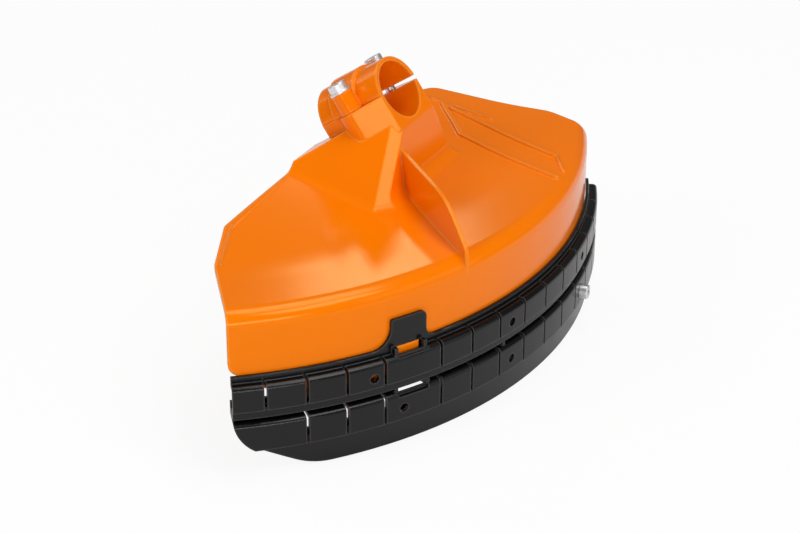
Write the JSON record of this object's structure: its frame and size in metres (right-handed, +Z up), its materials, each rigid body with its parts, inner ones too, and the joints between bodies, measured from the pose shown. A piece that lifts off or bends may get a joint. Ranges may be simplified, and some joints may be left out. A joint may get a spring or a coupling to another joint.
{
  "type": "trimmer blade guard",
  "caption": "Orange brush-cutter guard with a split shaft clamp and a black slotted clip-on skirt that carries a line-trimming blade.",
  "frame": {"origin": "middle of the shaft clamp's bore, on its axis", "axes": "+Z up, parallel to the cutter's spin axis; -Y towards the operator; +X to the operator's right"},
  "size_m": [0.2602, 0.1289, 0.1324],
  "materials": {
    "shell": "moulded gloss",
    "skirt": "satin",
    "steel": "zinc plated",
    "blade": "ground"
  },
  "bodies": {
    "root": {"clamp_cap": "shell", "clamp_nut_left": "steel", "clamp_nut_right": "steel", "clamp_screw_left": "steel", "clamp_screw_right": "steel", "clamp_washer_left": "steel", "clamp_washer_right": "steel", "cutter_nut": "steel", "cutter_screw": "steel", "guard_shell": "shell", "line_cutter": "blade", "skirt": "skirt"}
  },
  "joints": []
}
